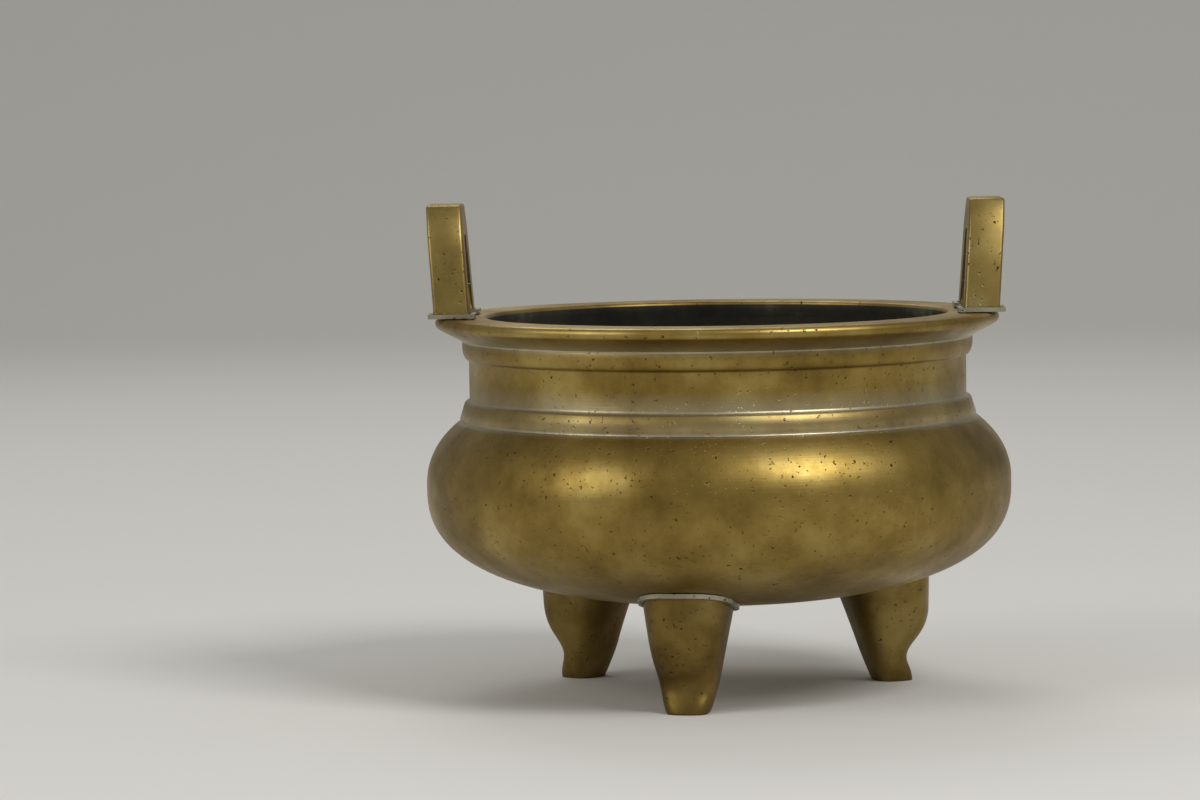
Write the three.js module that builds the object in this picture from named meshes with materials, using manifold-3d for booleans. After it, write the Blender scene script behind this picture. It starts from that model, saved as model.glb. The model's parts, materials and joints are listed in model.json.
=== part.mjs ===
// A bronze tripod incense burner: one turned bowl with an everted rim, two square upright ears let into
// the rim, three cast legs let into the bowl's underside, and the solder left round each of those joints.
// Millimetres, +Z up. The origin is on the floor under the vessel's axis, the ears are on +X and -X,
// and the leg at the front stands towards -Y.

import * as THREE from 'three';
import { mergeVertices } from 'three/addons/utils/BufferGeometryUtils.js';
import Module from 'manifold-3d';

const wasm = await Module();
wasm.setup();

// Driving dimensions
const clearance = 0.3;
const turnSteps = 36;

const bellyRadius = 75;
const bellyHeight = 53.5;
const bellyDrop = 30;
const bellyRise = 31;
const lowerFullness = 2.5;
const upperFullness = 2.3;
const bowlWall = 3.2;

const bandBottomRadius = 66.2;
const bandTopRadius = 64.9;
const bandHeight = 5.4;
const neckRadius = 63.7;
const neckHeight = 10.2;
const neckWall = 3.6;
const ringRadius = 65.4;
const ringHeight = 4.9;

const rimRadius = 72.2;
const rimSlope = 3.1;
const rimEdge = 3;
const mouthRadius = 59;

const earThickness = 9;
const earBaseWidth = 33;
const earShoulderWidth = 27;
const earTopWidth = 17;
const earHeight = 28.5;
const earShoulderHeight = 21.5;
const earBar = 8.2;
const earFootRadius = 67.2;
const earLean = 4;
const earTenonLength = 5.4;
const earTenonWidth = 4.4;
const earTenonDepth = 3;

const legAzimuth = -100;
const legToeInner = 42.5;
const legToeOuter = 52.4;
const legTopInner = 32.6;
const legTopOuter = 56.4;
const legPinch = 2.6;
const legPinchHeight = 7.4;
const legShoulderHeight = 17;
const legToeWidth = 10.4;
const legTopWidth = 22;
const legFullness = 2.9;
const legTenonRadius = 4;

const solderSpread = 1.4;
const solderHeight = 1.1;

// The profile's own heights follow from the sizes above.
const bandBottom = bellyHeight + bellyRise * superSide(bandBottomRadius / bellyRadius, upperFullness);
const neckBottom = bandBottom + bandHeight;
const ringBottom = neckBottom + neckHeight;
const ringTop = ringBottom + ringHeight;
const rimTop = ringTop + rimSlope + rimEdge;
const legRoof = bellyHeight;

// On a superellipse of radius and height 1, the height at a given share of the radius.
function superSide(share, fullness) {
  return (1 - share ** fullness) ** (1 / fullness);
}

function metal(color, roughness) {
  return new THREE.MeshStandardMaterial({ color, roughness, metalness: 1 });
}

function solid(geometry) {
  const bare = geometry.index ? geometry.toNonIndexed() : geometry.clone();
  bare.deleteAttribute('normal');
  bare.deleteAttribute('uv');
  const merged = mergeVertices(bare, 1e-3);
  return new wasm.Manifold(
    new wasm.Mesh({
      numProp: 3,
      vertProperties: merged.attributes.position.array,
      triVerts: new Uint32Array(merged.index.array),
    }),
  );
}

function mesh(name, body, material) {
  const cut = body.getMesh();
  const geometry = new THREE.BufferGeometry();
  geometry.setAttribute('position', new THREE.BufferAttribute(cut.vertProperties, 3));
  geometry.setIndex(new THREE.BufferAttribute(cut.triVerts, 1));
  geometry.computeVertexNormals();
  const made = new THREE.Mesh(geometry, material);
  made.name = name;
  return made;
}

// The belly's outside from the axis below up to the band, grown by an offset.
function bellyPoints(grow, steps) {
  const low = [];
  for (let i = 0; i <= steps; i += 1) {
    const share = Math.sin((i / steps) * Math.PI / 2);
    const drop = (bellyDrop + grow) * superSide(share, lowerFullness);
    low.push(new THREE.Vector2(share * (bellyRadius + grow), bellyHeight - drop));
  }
  const high = [];
  for (let i = steps - 1; i >= 0; i -= 1) {
    const first = bandBottomRadius / bellyRadius;
    const share = first + (1 - first) * Math.sin((i / steps) * Math.PI / 2);
    const rise = (bellyRise + grow) * superSide(share, upperFullness);
    high.push(new THREE.Vector2(share * (bellyRadius + grow), bellyHeight + rise));
  }
  return [low, high];
}

// A solid of revolution about +Z from points that start and end on the axis.
function turned(points, steps = turnSteps) {
  return new THREE.LatheGeometry(points, steps).rotateX(Math.PI / 2);
}

// The belly alone as a closed solid, for cutting what seats under it.
function bellySolid(grow) {
  const [low, high] = bellyPoints(grow, 9);
  const last = high[high.length - 1];
  return solid(turned([...low, ...high, new THREE.Vector2(0, last.y)]));
}

function bowlSolid() {
  const [low, high] = bellyPoints(0, 9);
  const [innerLow, innerHigh] = bellyPoints(-bowlWall, 7);
  const outside = [
    [bandBottomRadius, bandBottom],
    [bandTopRadius, neckBottom - 0.6],
    [neckRadius, neckBottom],
    [neckRadius, ringBottom],
    [neckRadius + 0.5 * (ringRadius - neckRadius), ringBottom + 0.25 * ringHeight],
    [ringRadius, ringBottom + 0.7 * ringHeight],
    [ringRadius, ringTop],
    [rimRadius - 1.2, ringTop + rimSlope],
    [rimRadius - 0.2, ringTop + rimSlope + 0.3 * rimEdge],
    [rimRadius, ringTop + rimSlope + 0.5 * rimEdge],
    [rimRadius - 0.4, ringTop + rimSlope + 0.85 * rimEdge],
    [rimRadius - 1.2, rimTop],
  ];
  const inside = [
    [mouthRadius + 0.6, rimTop],
    [mouthRadius, rimTop - 0.7],
    [mouthRadius, rimTop - 2.4],
    [neckRadius - neckWall, rimTop - 3.6],
    [neckRadius - neckWall, neckBottom],
  ];
  const toPoint = ([r, z]) => new THREE.Vector2(r, z);
  const innerTop = innerHigh.filter((p) => p.x > neckRadius - neckWall).reverse();
  const profile = [
    ...low,
    ...high.slice(0, -1),
    ...outside.map(toPoint),
    ...inside.map(toPoint),
    ...innerTop,
    ...innerLow.slice().reverse(),
  ];
  return solid(turned(profile));
}

// An ear seen along the radius: a trapezium with cut corners and an opening that follows it.
function earOutline() {
  const half = (width) => width / 2;
  const shape = new THREE.Shape();
  shape.moveTo(-half(earBaseWidth), 0);
  shape.lineTo(-half(earBaseWidth) + earBar, 0);
  shape.lineTo(-half(earShoulderWidth) + earBar, earShoulderHeight - 0.55 * earBar);
  shape.lineTo(-half(earTopWidth) + 0.55 * earBar, earHeight - earBar);
  shape.lineTo(half(earTopWidth) - 0.55 * earBar, earHeight - earBar);
  shape.lineTo(half(earShoulderWidth) - earBar, earShoulderHeight - 0.55 * earBar);
  shape.lineTo(half(earBaseWidth) - earBar, 0);
  shape.lineTo(half(earBaseWidth), 0);
  shape.lineTo(half(earShoulderWidth), earShoulderHeight);
  shape.lineTo(half(earTopWidth), earHeight);
  shape.lineTo(-half(earTopWidth), earHeight);
  shape.lineTo(-half(earShoulderWidth), earShoulderHeight);
  shape.closePath();
  return shape;
}

// The ear on +X leans outward by a shear, so that its feet stay flat on the rim.
function earSolid() {
  const bar = new THREE.ExtrudeGeometry(earOutline(), { depth: earThickness, bevelEnabled: false });
  bar.rotateX(Math.PI / 2);
  bar.rotateZ(Math.PI / 2);
  bar.translate(-earThickness / 2, 0, 0);
  const lean = Math.tan(THREE.MathUtils.degToRad(earLean));
  bar.applyMatrix4(new THREE.Matrix4().set(1, 0, lean, 0, 0, 1, 0, 0, 0, 0, 1, 0, 0, 0, 0, 1));
  bar.translate(earFootRadius, 0, rimTop + clearance);
  return [-1, 1].reduce((ear, side) => ear.add(solid(earTenon(side, 0))), solid(bar));
}

function earFootCentre(side) {
  return side * (earBaseWidth - earBar) / 2;
}

// A tenon under one foot of the ear, grown by the clearance to cut its mortise.
function earTenon(side, grow) {
  const height = earTenonDepth + 2 * clearance + 1;
  const box = new THREE.BoxGeometry(earTenonLength + 2 * grow, earTenonWidth + 2 * grow, height);
  const top = rimTop + clearance + 1 - grow;
  return box.translate(earFootRadius - 1, earFootCentre(side), top - height / 2);
}

// Solder round one foot: a low collar on the rim.
function earSolder(side) {
  const block = (grow, height, bottom) => {
    const box = new THREE.BoxGeometry(earThickness + 2 * grow, earBar + 2 * grow, height);
    return solid(box.translate(earFootRadius, earFootCentre(side), bottom + height / 2));
  };
  const outer = block(solderSpread, solderHeight, rimTop + clearance);
  return outer.subtract(block(clearance, 4 * solderHeight, rimTop - solderHeight));
}

// The leg's section at a height: its inner and outer radius and its width along the rim.
function legSection(height) {
  const t = THREE.MathUtils.clamp(height / (legRoof / 2), 0, 1.25);
  const inner = THREE.MathUtils.lerp(legToeInner, legTopInner, t);
  const swell = THREE.MathUtils.smoothstep(height, 0.5 * legPinchHeight, legShoulderHeight + 2);
  const pinch = legPinch * Math.exp(-(((height - legPinchHeight) / (0.6 * legPinchHeight)) ** 2));
  const outer = THREE.MathUtils.lerp(legToeOuter, legTopOuter, swell) - pinch;
  const width = THREE.MathUtils.lerp(legToeWidth, legTopWidth, Math.min(1, Math.pow(t, 0.75)));
  return { inner, outer, width };
}

// A loft of superellipse sections from the floor up into the belly, on +X.
function legLoft(grow) {
  const around = 20;
  const levels = 10;
  const top = legRoof * 0.72;
  const positions = [];
  for (let j = 0; j <= levels; j += 1) {
    const height = (j / levels) * top;
    const { inner, outer, width } = legSection(height);
    for (let i = 0; i < around; i += 1) {
      const angle = (i / around) * 2 * Math.PI;
      const round = (value) => Math.sign(value) * Math.abs(value) ** (2 / legFullness);
      const x = (inner + outer) / 2 + ((outer - inner) / 2 + grow) * round(Math.cos(angle));
      const y = (width / 2 + grow) * round(Math.sin(angle));
      positions.push(x, y, height);
    }
  }
  const floor = legSection(0);
  const roof = legSection(top);
  positions.push((floor.inner + floor.outer) / 2, 0, 0, (roof.inner + roof.outer) / 2, 0, top);
  const index = [];
  const lowCentre = (levels + 1) * around;
  for (let i = 0; i < around; i += 1) {
    const next = (i + 1) % around;
    for (let j = 0; j < levels; j += 1) {
      const a = j * around + i;
      const b = j * around + next;
      index.push(a, b, b + around, a, b + around, a + around);
    }
    index.push(lowCentre, next, i);
    index.push(lowCentre + 1, levels * around + i, levels * around + next);
  }
  const geometry = new THREE.BufferGeometry();
  geometry.setAttribute('position', new THREE.Float32BufferAttribute(positions, 3));
  geometry.setIndex(index);
  return geometry;
}

// The round tenon that goes through the bowl's wall, with its end flush inside.
function legTenon(grow) {
  const middle = (legTopInner + legTopOuter) / 2;
  const height = bellyHeight / 2 + bowlWall - legShoulderHeight;
  const pin = new THREE.CylinderGeometry(legTenonRadius + grow, legTenonRadius + grow, height, 24);
  pin.rotateX(Math.PI / 2);
  return solid(pin.translate(middle, 0, legShoulderHeight + height / 2));
}

function legSolid() {
  const body = solid(legLoft(0)).subtract(bellySolid(clearance));
  const tenon = legTenon(0).subtract(bellySolid(-bowlWall));
  return body.add(tenon);
}

// Solder where the leg meets the belly: a thin collar between two offsets of the belly.
function legSolder() {
  const collar = solid(legLoft(solderSpread)).intersect(bellySolid(clearance + solderHeight));
  return collar.subtract(bellySolid(clearance)).subtract(solid(legLoft(clearance)));
}

function turnedBy(body, degrees) {
  return body.rotate([0, 0, degrees]);
}

const brass = metal(0x8c7434, 0.42);
const wornBrass = metal(0x9a8346, 0.4);
const darkBrass = metal(0x6f5a2c, 0.46);
const solder = metal(0xb3aa92, 0.7);

const legs = [
  ['front', legAzimuth],
  ['right', legAzimuth + 120],
  ['left', legAzimuth + 240],
];
const ears = [
  ['right', 0],
  ['left', 180],
];

let bowl = bowlSolid();
for (const [, azimuth] of legs) {
  bowl = bowl.subtract(turnedBy(legTenon(clearance), azimuth));
}
for (const [, azimuth] of ears) {
  for (const side of [-1, 1]) {
    bowl = bowl.subtract(turnedBy(solid(earTenon(side, clearance)), azimuth));
  }
}

const burner = new THREE.Group();
burner.add(mesh('bowl', bowl, brass));
for (const [place, azimuth] of ears) {
  burner.add(mesh(`ear_${place}`, turnedBy(earSolid(), azimuth), wornBrass));
  for (const [end, side] of [['a', -1], ['b', 1]]) {
    burner.add(mesh(`ear_${place}_solder_${end}`, turnedBy(earSolder(side), azimuth), solder));
  }
}
for (const [place, azimuth] of legs) {
  burner.add(mesh(`leg_${place}`, turnedBy(legSolid(), azimuth), darkBrass));
  burner.add(mesh(`leg_${place}_solder`, turnedBy(legSolder(), azimuth), solder));
}

export default burner;
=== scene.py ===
# %% [markdown]
# A bronze tripod incense burner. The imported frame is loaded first, and every piece is built in metres in
# the same frame: origin on the floor under the vessel's axis, +Z up, ears on +X and -X.

# %% Load the frame
import json

import bpy
import numpy as np
from mathutils import Matrix, Vector


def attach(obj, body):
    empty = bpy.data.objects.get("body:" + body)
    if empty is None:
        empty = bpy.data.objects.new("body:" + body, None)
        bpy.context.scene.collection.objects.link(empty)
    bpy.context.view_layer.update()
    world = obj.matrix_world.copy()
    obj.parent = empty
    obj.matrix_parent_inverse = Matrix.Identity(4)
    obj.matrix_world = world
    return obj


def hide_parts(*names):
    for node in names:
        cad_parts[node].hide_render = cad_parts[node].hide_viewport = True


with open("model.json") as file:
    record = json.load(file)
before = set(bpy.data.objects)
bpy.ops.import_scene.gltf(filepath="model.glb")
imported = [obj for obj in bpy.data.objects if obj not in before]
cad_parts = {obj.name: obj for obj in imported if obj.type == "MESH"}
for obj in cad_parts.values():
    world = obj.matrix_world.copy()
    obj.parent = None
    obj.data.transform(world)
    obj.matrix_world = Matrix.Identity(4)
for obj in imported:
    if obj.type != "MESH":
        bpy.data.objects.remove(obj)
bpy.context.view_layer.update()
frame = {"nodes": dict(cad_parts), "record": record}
MM = 0.001

# %% [markdown]
# The camera comes from the photograph: its height, its distance and its slight downward tilt. A long lens
# at a metre and a third keeps the rim's ellipse as flat as it looks there.

# %% Camera
DISTANCE = 1300 * MM
EYE_HEIGHT = 166 * MM
PAN = np.radians(1.33)
PITCH = np.radians(4.0)
ROLL = np.radians(-0.84)
LENS_MM = 152.2
SENSOR_MM = 36

camera_data = bpy.data.cameras.new("camera")
camera_data.lens = LENS_MM
camera_data.sensor_width = SENSOR_MM
camera = bpy.data.objects.new("camera", camera_data)
bpy.context.scene.collection.objects.link(camera)
pan = Matrix.Rotation(PAN, 4, "Z")
tilt = Matrix.Rotation(np.pi / 2 - PITCH, 4, "X")
roll = Matrix.Rotation(ROLL, 4, "Z")
camera.matrix_world = Matrix.Translation((0, -DISTANCE, EYE_HEIGHT)) @ pan @ tilt @ roll
bpy.context.scene.camera = camera
print("camera", LENS_MM, "mm lens at", DISTANCE, "m")

# %% [markdown]
# Colours are written as they look, in sRGB hex, and turned to linear once. One helper adds every shader
# node with its settings and links, so that each material reads as a short list.


# %% Material helpers
def linear(hex_colour):
    """Each channel c of an sRGB hex colour becomes ((c + 0.055) / 1.055) ** 2.4, or c / 12.92 near black."""
    srgb = np.array([int(hex_colour[i : i + 2], 16) for i in (1, 3, 5)]) / 255
    return (*np.where(srgb > 0.04045, ((srgb + 0.055) / 1.055) ** 2.4, srgb / 12.92), 1.0)


def add(tree, kind, links=None, values=None, **settings):
    """Add one node: settings are its properties, values fill its sockets, links join sockets to outputs."""
    node = tree.nodes.new(kind)
    for key, value in settings.items():
        setattr(node, key, value)
    for key, value in (values or {}).items():
        node.inputs[key].default_value = value
    for key, output in (links or {}).items():
        tree.links.new(output, node.inputs[key])
    return node


def ramp(tree, source, stops):
    """A colour ramp from (position, hex) stops, driven by one output."""
    node = add(tree, "ShaderNodeValToRGB", {"Fac": source})
    elements = node.color_ramp.elements
    while len(elements) < len(stops):
        elements.new(0.5)
    for element, (position, hex_colour) in zip(elements, stops):
        element.position = position
        element.color = linear(hex_colour)
    return node.outputs["Color"]


# %% [markdown]
# Aged cast brass is warm olive gold where it has been handled, browner in patches, and speckled with
# casting pits about a millimetre across. Fine turning lines run level round the bowl, so their noise is
# drawn out along X and Y and stays fine along Z. Pale polish and solder residue stays in the grooves, and
# soot crusts the inside. Two point attributes on the bowl mark where.

# %% Sizes of the finish
PATCH_MM = 26
PIT_MM = 1.1
PIT_DEPTH_MM = 0.25
LINE_MM = 0.55
LINE_DEPTH_MM = 0.06
LINE_STRETCH = 0.03
PIT_COLOUR = "#2a2110"
RESIDUE_COLOUR = "#b9b4a0"
RESIDUE_GAIN = 1.5
SOOT = [(0.35, "#1d1b15"), (0.55, "#3a3527"), (0.72, "#77755f")]


# %% Residue and soot on the bowl
def weather(tree, shader, patches, surface, rough):
    """Mix residue over the colour by the residue mark times the patches, then soot by the crust mark."""
    mark = add(tree, "ShaderNodeAttribute", attribute_name="residue").outputs["Fac"]
    broken = add(tree, "ShaderNodeMath", {0: mark, 1: patches}, operation="MULTIPLY").outputs[0]
    amount = add(
        tree,
        "ShaderNodeMath",
        {0: broken},
        {1: RESIDUE_GAIN},
        operation="MULTIPLY",
        use_clamp=True,
    ).outputs[0]
    pale = {7: linear(RESIDUE_COLOUR)}
    caked = add(tree, "ShaderNodeMix", {0: amount, 6: surface}, pale, data_type="RGBA").outputs[2]
    crust = add(tree, "ShaderNodeAttribute", attribute_name="crust").outputs["Fac"]
    sooty = ramp(tree, patches, SOOT)
    dark = add(tree, "ShaderNodeMix", {0: crust, 6: caked, 7: sooty}, data_type="RGBA").outputs[2]
    metal = add(
        tree,
        "ShaderNodeMath",
        {1: crust},
        {0: 1.0},
        operation="SUBTRACT",
        use_clamp=True,
    ).outputs[0]
    tree.links.new(metal, shader.inputs["Metallic"])
    dull = add(tree, "ShaderNodeMath", {0: crust, 1: rough}, operation="ADD", use_clamp=True)
    return dark, dull.outputs[0]


# %% Aged brass
def aged_brass(name, high, middle, low, pits=0.5, lines=0.0, weathered=False):
    """Patchy colour and roughness by large noise, with pits and turning lines as bump."""
    material = bpy.data.materials.new(name)
    material.use_nodes = True
    tree = material.node_tree
    shader = tree.nodes["Principled BSDF"]
    place = add(tree, "ShaderNodeTexCoord").outputs["Object"]
    patches = add(
        tree,
        "ShaderNodeTexNoise",
        {"Vector": place},
        {"Scale": 1 / (PATCH_MM * MM), "Detail": 8.0, "Roughness": 0.62},
    ).outputs["Fac"]
    colour = ramp(tree, patches, [(0.3, low), (0.5, middle), (0.7, high)])
    fine = add(
        tree,
        "ShaderNodeTexNoise",
        {"Vector": place},
        {"Scale": 1 / (PIT_MM * MM), "Detail": 3.0, "Roughness": 0.5},
    ).outputs["Fac"]
    holes = add(
        tree,
        "ShaderNodeMapRange",
        {"Value": fine},
        {"From Min": 0.24, "From Max": 0.36, "To Min": 1.0, "To Max": 0.0},
    ).outputs["Result"]
    dirt = {7: linear(PIT_COLOUR)}
    surface = add(tree, "ShaderNodeMix", {0: holes, 6: colour}, dirt, data_type="RGBA").outputs[2]
    rough = add(
        tree,
        "ShaderNodeMapRange",
        {"Value": patches},
        {"From Min": 0.3, "From Max": 0.7, "To Min": 0.5, "To Max": 0.34},
    ).outputs["Result"]
    if weathered:
        surface, rough = weather(tree, shader, patches, surface, rough)
    else:
        shader.inputs["Metallic"].default_value = 1.0
    drawn_out = add(
        tree,
        "ShaderNodeMapping",
        {"Vector": place},
        {"Scale": (LINE_STRETCH, LINE_STRETCH, 1.0)},
    ).outputs["Vector"]
    turned = add(
        tree,
        "ShaderNodeTexNoise",
        {"Vector": drawn_out},
        {"Scale": 1 / (LINE_MM * MM), "Detail": 2.0},
    ).outputs["Fac"]
    bump_pits = add(
        tree,
        "ShaderNodeBump",
        {"Height": holes},
        {"Strength": pits, "Distance": PIT_DEPTH_MM * MM},
        invert=True,
    ).outputs["Normal"]
    bump_lines = add(
        tree,
        "ShaderNodeBump",
        {"Height": turned, "Normal": bump_pits},
        {"Strength": lines, "Distance": LINE_DEPTH_MM * MM},
    ).outputs["Normal"]
    tree.links.new(surface, shader.inputs["Base Color"])
    tree.links.new(rough, shader.inputs["Roughness"])
    tree.links.new(bump_lines, shader.inputs["Normal"])
    return material


BOWL = aged_brass("turned_brass", "#b09a5c", "#8f783e", "#6a5528", pits=0.6, lines=0.35, weathered=True)
EAR = aged_brass("worn_brass", "#b7a670", "#97824a", "#6f5d34", pits=0.8)
LEG = aged_brass("dark_brass", "#9c8750", "#7a6535", "#564522", pits=0.7)
SOLDER = aged_brass("grey_solder", "#c3bfae", "#a8a28c", "#7d7660", pits=1.0)
print("materials", len(bpy.data.materials))

# %% [markdown]
# Every shape is a grid of points worked out at once. The grid's columns run round the piece and close on
# themselves, and its rows run along the profile. A fan of triangles closes each end.


# %% Grid surfaces
def put_mesh(name, points, faces, material):
    """A mesh object at the origin from an array of points in metres and a list of faces."""
    data = bpy.data.meshes.new(name)
    data.from_pydata(points.tolist(), [], [list(map(int, face)) for face in faces])
    data.materials.append(material)
    data.polygons.foreach_set("use_smooth", np.full(len(data.polygons), True))
    data.validate()
    piece = bpy.data.objects.new(name, data)
    bpy.context.scene.collection.objects.link(piece)
    return piece


def closed_grid(rows, columns):
    """Quads between neighbouring rows, then a fan at each end from the two points after the grid."""
    row, column = np.meshgrid(np.arange(rows - 1), np.arange(columns), indexing="ij")
    here = row * columns + column
    right = row * columns + (column + 1) % columns
    quads = np.stack([here, right, right + columns, here + columns], axis=-1).reshape(-1, 4)
    this = np.arange(columns)
    following = (this + 1) % columns
    first_centre = rows * columns
    last_row = first_centre - columns
    low = np.column_stack([np.full(columns, first_centre), following, this])
    high = np.column_stack([np.full(columns, first_centre + 1), last_row + this, last_row + following])
    return quads.tolist() + low.tolist() + high.tolist()


def take_over(piece, node):
    """The piece stands for a node and rides on the one body, and the node's own part is hidden."""
    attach(piece, "root")
    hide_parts(node)
    print(piece.name, len(piece.data.vertices), "points")


# %% [markdown]
# The bowl is one turned casting. Its belly is a superellipse, fuller below than an ellipse, and its
# profile runs from the underside, over the rim, and back down inside. Its sizes are those of the model,
# in millimetres, so it stays in place.

# %% Bowl sizes
BELLY_R, BELLY_Z = 75.0, 53.5
DROP, RISE = 30.0, 31.0
LOW_FULL, HIGH_FULL = 2.5, 2.3
WALL = 3.2
BAND_R, BAND_TOP_R, BAND_H = 66.2, 64.9, 5.4
NECK_R, NECK_H, NECK_WALL = 63.7, 10.2, 3.6
RING_R, RING_H = 65.4, 4.9
RIM_R, RIM_SLOPE, RIM_EDGE, MOUTH_R = 72.2, 3.1, 3.0, 59.0

# Small roundings and lands where one moulding meets the next.
BAND_INSET, BAND_LIFT, BAND_LAND = 0.5, 0.15, 0.6
LEDGE_DROP, LEDGE_INSET, FILLET = 0.9, 0.25, 0.1
NECK_EASE, RING_EASE, RING_BLEND = 0.5, 0.4, 1.4
RING_OUT, RING_UP = 0.3, 0.2
RIM_NOSE, RIM_UNDER = 1.5, 0.3
LIP, LIP_LAND, LIP_DROP = 1.0, 2.4, 3.8


# %% Bowl profile
def side(share, fullness):
    """On a superellipse of size 1, the height at a share s of the radius: (1 - s ** n) ** (1 / n)."""
    return (1 - np.clip(share, 0, 1) ** fullness) ** (1 / fullness)


def belly(grow, steps, top_radius):
    """The belly's half profile, grown by an offset: z = middle - drop * side(s), then + rise * side(s)."""
    quarter = np.linspace(0, np.pi / 2, steps)
    low = np.sin(quarter)
    low_z = BELLY_Z - (DROP + grow) * side(low, LOW_FULL)
    first = top_radius / (BELLY_R + grow)
    high = first + (1 - first) * np.cos(quarter)[1:]
    high_z = BELLY_Z + (RISE + grow) * side(high, HIGH_FULL)
    halves = np.concatenate([np.column_stack([low, low_z]), np.column_stack([high, high_z])])
    return halves * (BELLY_R + grow, 1)


def arc(centre_r, centre_z, radius_r, radius_z, start, end, steps=8):
    """Points on an ellipse's arc: centre + radius * (cos a, sin a), a between two angles in degrees."""
    angle = np.radians(np.linspace(start, end, steps))
    return np.column_stack([centre_r + radius_r * np.cos(angle), centre_z + radius_z * np.sin(angle)])


BAND_Z = BELLY_Z + RISE * side(BAND_R / BELLY_R, HIGH_FULL)
NECK_Z = BAND_Z + BAND_H
RING_Z = NECK_Z + NECK_H
RING_TOP = RING_Z + RING_H
RIM_TOP = RING_TOP + RIM_SLOPE + RIM_EDGE
INSIDE_R = NECK_R - NECK_WALL

upper = np.concatenate(
    [
        [[BAND_R - BAND_INSET, BAND_Z + BAND_LIFT], [BAND_R, BAND_Z + BAND_LAND]],
        [[BAND_TOP_R + FILLET, NECK_Z - LEDGE_DROP]],
        [[BAND_TOP_R - LEDGE_INSET, NECK_Z - LEDGE_DROP / 2]],
        [[NECK_R + FILLET, NECK_Z - FILLET / 2], [NECK_R, NECK_Z + NECK_EASE]],
        [[NECK_R, (NECK_Z + RING_Z) / 2], [NECK_R, RING_Z - RING_EASE]],
        arc(NECK_R, RING_TOP - RING_BLEND, RING_R - NECK_R, RING_H - RING_BLEND, -80, 0),
        [[RING_R, RING_TOP - RING_EASE], [RING_R - FILLET, RING_TOP]],
        [[RING_R + RING_OUT, RING_TOP + RING_UP]],
        [[RIM_R - RIM_NOSE - FILLET, RING_TOP + RIM_SLOPE - RIM_UNDER]],
        arc(RIM_R - RIM_NOSE, RIM_TOP - RIM_EDGE / 2, RIM_NOSE, RIM_EDGE / 2, -75, 90, 14),
        arc(MOUTH_R + LIP, RIM_TOP - LIP, LIP, LIP, 90, 180),
        [[MOUTH_R, RIM_TOP - LIP_LAND], [INSIDE_R, RIM_TOP - LIP_DROP], [INSIDE_R, NECK_Z]],
    ]
)
outer = belly(0.0, 60, BAND_R)
inner = belly(-WALL, 40, INSIDE_R)[::-1]
profile = np.concatenate([outer[1:-1], upper, inner[:-1]])
print("bowl profile", len(profile), "points, rim top", round(RIM_TOP, 2), "mm")

# %% [markdown]
# Turning the profile about the axis makes the bowl. A casting is never quite round, so the radius takes two
# shallow waves, a few hundredths of a millimetre deep, held inside the belly's own radius.

# %% Bowl surface
AROUND = 256
WAVE_3, WAVE_7 = 0.06, 0.04
WAVE_FROM_R = 20

angle = np.linspace(0, 2 * np.pi, AROUND, endpoint=False)
radius, height = profile[:, :1], profile[:, 1:]
cast_wave = WAVE_3 * np.sin(3 * angle + 0.7) + WAVE_7 * np.sin(7 * angle + 2.1)
limit = np.where(radius > BELLY_R - 1, BELLY_R, radius + 1)
radius = np.minimum(radius + cast_wave * (radius > WAVE_FROM_R), limit)
grid = np.stack([radius * np.cos(angle), radius * np.sin(angle), height + 0 * angle], axis=-1)
ends = [[0, 0, outer[0, 1]], [0, 0, inner[-1, 1]]]
points = np.concatenate([grid.reshape(-1, 3), ends]) * MM
bowl = put_mesh("bowl_turned", points, closed_grid(len(profile), AROUND), BOWL)
take_over(bowl, "bowl")

# %% [markdown]
# The residue mark is strong in the three grooves and fades away from them as a bell curve. The crust mark
# is 1 on the inside below the lip and 0 elsewhere.

# %% Marks on the bowl
GROOVE_SPREAD = 0.35
UPPER_OUTSIDE_ROWS = 30
LIP_ROWS = 4

row = np.arange(len(profile))
grooves = np.array([BAND_Z, NECK_Z, RING_TOP + RING_UP])
near = np.exp(-((profile[:, 1:] - grooves) ** 2).min(axis=1) / GROOVE_SPREAD)
residue = near * (row < len(outer) + UPPER_OUTSIDE_ROWS)
crust = (row > len(profile) - len(inner) - LIP_ROWS).astype(float)
for label, values, floor_value in (("residue", residue, 0.0), ("crust", crust, 1.0)):
    marks = np.concatenate([np.repeat(values, AROUND), [0.0, floor_value]]).astype(np.float32)
    bowl.data.attributes.new(label, "FLOAT", "POINT").data.foreach_set("value", marks)

# %% [markdown]
# An ear is a square bar bent into an upright loop with cut corners. It is built as a band between an outer
# and an inner outline, given its thickness along the radius, and leaned outward by a shear. A bevel wears
# its edges round.

# %% Ears
EAR_THICK, EAR_FOOT_R, EAR_LEAN = 9.0, 67.2, np.tan(np.radians(4.0))
FOOT_HALF, SHOULDER_HALF, TOP_HALF = 16.5, 13.5, 8.5
SHOULDER_H, EAR_H = 21.5, 28.5
HOLE_FOOT_HALF, HOLE_SHOULDER_HALF, HOLE_TOP_HALF = 8.3, 5.3, 4.0
HOLE_SHOULDER_H, HOLE_H = 17.0, 20.3
EAR_WEAR, EAR_WEAR_STEPS = 0.8, 4
GAP = 0.3


def loop_outline(foot, shoulder, top, shoulder_height, top_height):
    """Three corners going up one side, and the same three coming down the other with y turned round."""
    rising = np.array([[-foot, 0], [-shoulder, shoulder_height], [-top, top_height]])
    return np.concatenate([rising, rising[::-1] * (-1, 1)])


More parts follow.
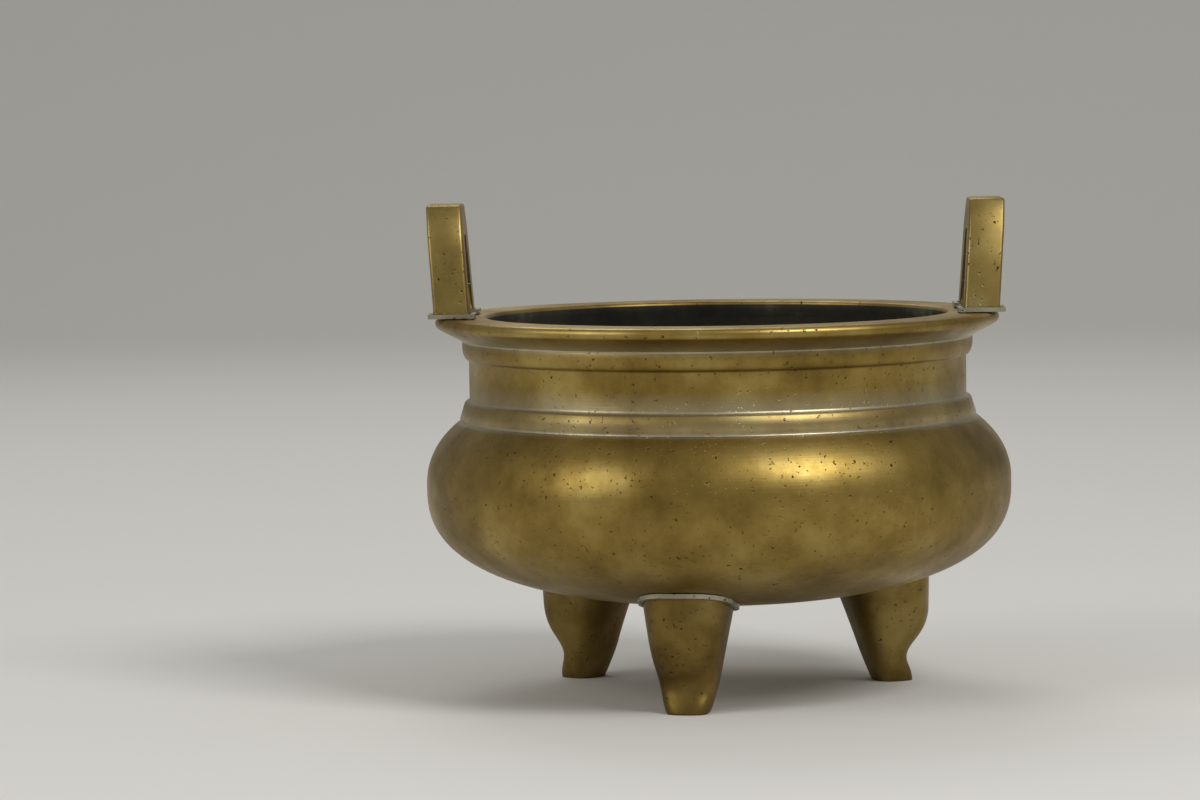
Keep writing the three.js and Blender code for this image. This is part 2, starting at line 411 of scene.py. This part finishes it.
def ear(name, node, sign):
    """x = foot radius + depth + lean * z, with y and z from the outlines. On -X it is turned half round."""
    outline = loop_outline(FOOT_HALF, SHOULDER_HALF, TOP_HALF, SHOULDER_H, EAR_H)
    hole = loop_outline(HOLE_FOOT_HALF, HOLE_SHOULDER_HALF, HOLE_TOP_HALF, HOLE_SHOULDER_H, HOLE_H)
    flat = np.concatenate([outline, hole])
    depth = np.array([-EAR_THICK / 2, EAR_THICK / 2])[:, None]
    x = EAR_FOOT_R + depth + EAR_LEAN * flat[:, 1]
    y = np.broadcast_to(flat[:, 0], x.shape)
    z = np.broadcast_to(flat[:, 1] + RIM_TOP + GAP, x.shape)
    points = np.stack([sign * x, sign * y, z], axis=-1).reshape(-1, 3) * MM
    corners = len(outline)
    out = np.arange(corners - 1)
    hole_edge = out + corners
    far = len(flat)
    inner_face = np.column_stack([out, out + 1, hole_edge + 1, hole_edge])
    outer_face = np.column_stack([out, hole_edge, hole_edge + 1, out + 1]) + far
    outline_side = np.column_stack([out, out + far, out + 1 + far, out + 1])
    hole_side = np.column_stack([hole_edge, hole_edge + 1, hole_edge + 1 + far, hole_edge + far])
    first_foot = [0, corners, corners + far, far]
    last_foot = [corners - 1, corners - 1 + far, far * 2 - 1, far - 1]
    faces = np.concatenate([inner_face, outer_face, outline_side, hole_side, [first_foot, last_foot]])
    piece = put_mesh(name, points, faces, EAR)
    bevel = piece.modifiers.new("worn_edges", "BEVEL")
    bevel.width = EAR_WEAR * MM
    bevel.segments = EAR_WEAR_STEPS
    take_over(piece, node)


ear("ear_loop_right", "ear_right", 1)
ear("ear_loop_left", "ear_left", -1)

# %% [markdown]
# A leg is a loft: at each height its section is a superellipse between an inner and an outer radius. The
# outside bulges at the top, pinches above the floor and flares at the toe. Its top follows the belly's
# underside, so its heights are worked out a few times over until they settle.

# %% Leg sizes
TOE_IN, TOE_OUT, TOP_IN, TOP_OUT = 42.5, 52.4, 32.6, 56.4
PINCH, PINCH_Z, SHOULDER_Z = 2.6, 7.4, 17.0
TOE_W, TOP_W, LEG_FULL = 10.4, 22.0, 2.9
LEG_SECTIONS, LEG_COLUMNS = 48, 64
FIRST_HEIGHT, PASSES = 30.0, 6


# %% Legs
def underside(x, y):
    """The height of the belly's underside, less the gap, above a point on the floor."""
    return BELLY_Z - (DROP + GAP) * side(np.hypot(x, y) / (BELLY_R + GAP), LOW_FULL)


def leg_section(z, theta):
    """x and y of a superellipse: middle + half width * sign(cos a) * |cos a| ** (2 / n), and the sine."""
    t = np.clip(z / (BELLY_Z / 2), 0, 1.25)
    inside = TOE_IN + (TOP_IN - TOE_IN) * t
    s = np.clip((z - 0.5 * PINCH_Z) / (SHOULDER_Z + 2 - 0.5 * PINCH_Z), 0, 1)
    pinch = PINCH * np.exp(-(((z - PINCH_Z) / (0.6 * PINCH_Z)) ** 2))
    outside = TOE_OUT + (TOP_OUT - TOE_OUT) * s * s * (3 - 2 * s) - pinch
    width = TOE_W + (TOP_W - TOE_W) * np.minimum(1, t**0.75)
    round_cos = np.sign(np.cos(theta)) * np.abs(np.cos(theta)) ** (2 / LEG_FULL)
    round_sin = np.sign(np.sin(theta)) * np.abs(np.sin(theta)) ** (2 / LEG_FULL)
    return (inside + outside) / 2 + (outside - inside) / 2 * round_cos, width / 2 * round_sin


def leg(name, node, azimuth):
    """Sections at even shares of the underside's height, turned about the axis by the azimuth."""
    share = np.linspace(0, 1, LEG_SECTIONS)[:, None]
    theta = np.linspace(0, 2 * np.pi, LEG_COLUMNS, endpoint=False)[None, :]
    z = share * FIRST_HEIGHT + 0 * theta
    for _ in range(PASSES):
        x, y = leg_section(z, theta)
        z = share * underside(x[-1], y[-1])[None, :]
    turn = np.radians(azimuth)
    turned_x = x * np.cos(turn) - y * np.sin(turn)
    turned_y = x * np.sin(turn) + y * np.cos(turn)
    grid = np.stack([turned_x, turned_y, z], axis=-1)
    low = grid[0].mean(axis=0)
    high = grid[-1].mean(axis=0)
    high[2] = underside(high[0], high[1])
    points = np.concatenate([grid.reshape(-1, 3), [low, high]]) * MM
    piece = put_mesh(name, points, closed_grid(LEG_SECTIONS, LEG_COLUMNS), LEG)
    take_over(piece, node)


leg("leg_cast_front", "leg_front", -100)
leg("leg_cast_right", "leg_right", 20)
leg("leg_cast_left", "leg_left", 140)

# %% [markdown]
# The solder collars keep their CAD shapes and take the dull grey solder finish.

# %% Solder
collars = [row["node"] for row in frame["record"]["subparts"] if row["material_slot"] == "solder"]
for node in collars:
    collar = frame["nodes"][node]
    collar.data.materials.clear()
    collar.data.materials.append(SOLDER)
print("solder collars", len(collars))

# %% [markdown]
# The stage is one pale sheet that runs flat under the burner and curves up behind it. Soft lamps light it
# at a plain level. These sizes are in metres.

# %% Stage
SWEEP_START, SWEEP_RADIUS = 1.6, 0.8
SHEET_FRONT, SHEET_FLAT, SHEET_TOP, SHEET_HALF = -3.0, 1.0, 3.0, 3.0

bend = arc(SWEEP_START, SWEEP_RADIUS, SWEEP_RADIUS, SWEEP_RADIUS, -90, 0, 24)
flat_line = [[SHEET_FRONT, 0.0], [SHEET_FLAT, 0.0]]
stage_line = np.concatenate([flat_line, bend, [[SWEEP_START + SWEEP_RADIUS, SHEET_TOP]]])
across = np.array([-SHEET_HALF, SHEET_HALF]) + np.zeros((len(stage_line), 1))
sheet = np.stack([across, stage_line[:, :1] + 0 * across, stage_line[:, 1:] + 0 * across], axis=-1)
start = 2 * np.arange(len(stage_line) - 1)
sheet_faces = np.column_stack([start, start + 1, start + 3, start + 2])

paper = bpy.data.materials.new("matt_paper")
paper.use_nodes = True
paper_shader = paper.node_tree.nodes["Principled BSDF"]
paper_shader.inputs["Base Color"].default_value = linear("#dcdad5")
paper_shader.inputs["Roughness"].default_value = 0.9
put_mesh("paper_sweep", sheet.reshape(-1, 3), sheet_faces, paper)

# %% Lights
AIM = Vector((0, 0, 0.06))


def lamp(name, place, size, watts):
    """A square soft lamp at a place, facing the middle of the burner."""
    data = bpy.data.lights.new(name, "AREA")
    data.size = size
    data.energy = watts
    thing = bpy.data.objects.new(name, data)
    thing.location = place
    thing.rotation_euler = (AIM - Vector(place)).to_track_quat("-Z", "Y").to_euler()
    bpy.context.scene.collection.objects.link(thing)


lamp("key", (0.75, -0.8, 1.1), size=0.6, watts=11)
lamp("fill", (-1.1, -0.7, 0.7), size=0.8, watts=5)
lamp("back", (-0.2, 1.0, 1.2), size=0.7, watts=4)
world = bpy.data.worlds.new("soft_room")
world.use_nodes = True
room = world.node_tree.nodes["Background"]
room.inputs["Color"].default_value = linear("#e4e4e2")
room.inputs["Strength"].default_value = 0.45
bpy.context.scene.world = world
bpy.context.scene.view_settings.view_transform = "Standard"
print("lamps", len(bpy.data.lights))
